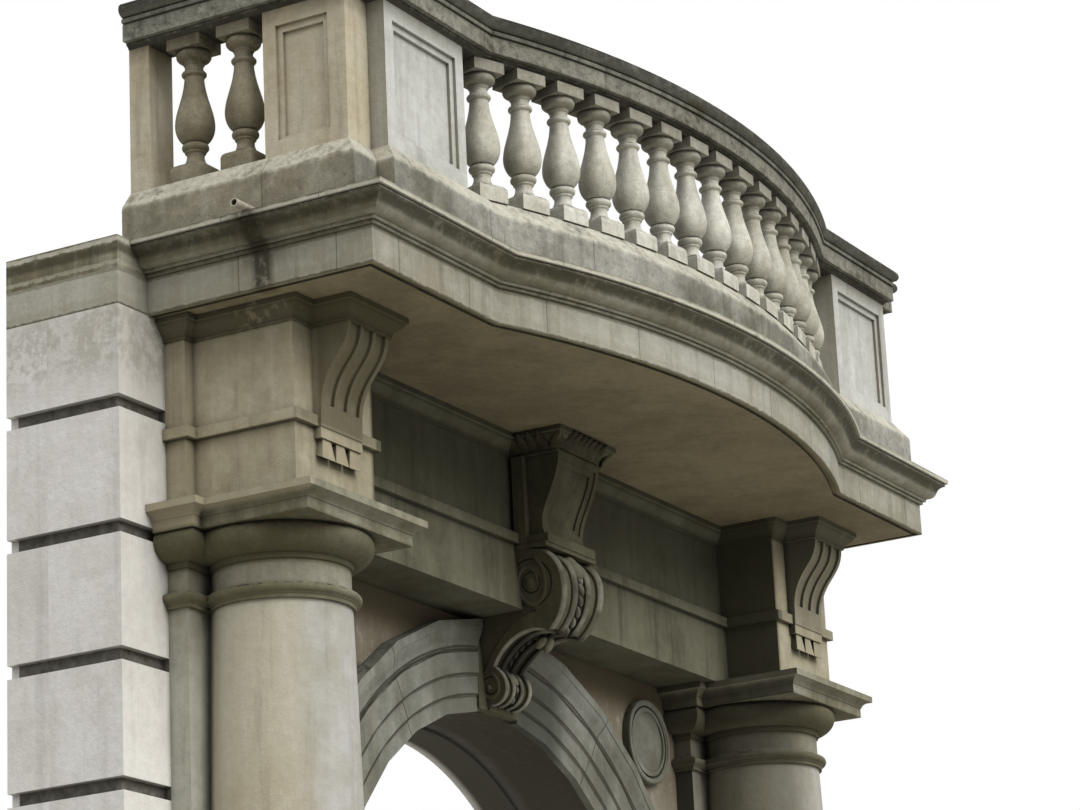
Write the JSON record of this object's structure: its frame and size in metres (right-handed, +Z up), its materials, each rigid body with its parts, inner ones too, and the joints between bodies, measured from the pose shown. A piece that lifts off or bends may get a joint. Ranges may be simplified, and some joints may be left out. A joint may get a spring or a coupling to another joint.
{
  "type": "stone balcony on a columned portal",
  "caption": "Bow-fronted stone balcony with baluster railings, carried by two engaged columns over an arched doorway.",
  "frame": {"origin": "ground level, at the middle of the footprint, on the doorway's centre line", "axes": "+Z up, -Y out of the front, X along the front"},
  "size_m": [5.1, 1.865, 7.12],
  "materials": {
    "limestone": "weathered",
    "pale_limestone": "weathered",
    "shaded_limestone": "weathered",
    "blackened_limestone": "lichen",
    "drain_pipe": "rusty"
  },
  "bodies": {
    "root": {"left_column_base": "limestone", "right_column_base": "limestone", "left_column_shaft": "pale_limestone", "right_column_shaft": "pale_limestone", "left_pilaster": "limestone", "right_pilaster": "limestone", "left_capital": "limestone", "right_capital": "limestone", "left_wall": "limestone", "right_wall": "limestone", "arch_wall": "limestone", "left_rear_wall": "shaded_limestone", "right_rear_wall": "shaded_limestone", "rear_arch": "shaded_limestone", "left_impost_pier": "limestone", "right_impost_pier": "limestone", "archivolt": "pale_limestone", "left_roundel": "pale_limestone", "right_roundel": "pale_limestone", "left_entablature_block": "pale_limestone", "right_entablature_block": "pale_limestone", "left_bracket": "limestone", "right_bracket": "limestone", "architrave": "shaded_limestone", "frieze": "shaded_limestone", "keystone_scroll": "shaded_limestone", "console": "shaded_limestone", "soffit_slab": "limestone", "floor_slab": "limestone", "left_plinth": "pale_limestone", "front_plinth": "pale_limestone", "right_plinth": "pale_limestone", "left_wall_pier": "limestone", "right_wall_pier": "limestone", "left_corner_pier": "limestone", "right_corner_pier": "limestone", "left_front_pedestal": "pale_limestone", "right_front_pedestal": "pale_limestone", "left_balusters": "pale_limestone", "right_balusters": "pale_limestone", "front_balusters": "pale_limestone", "left_coping": "blackened_limestone", "front_coping": "blackened_limestone", "right_coping": "blackened_limestone", "drain_spout": "drain_pipe"}
  },
  "joints": []
}
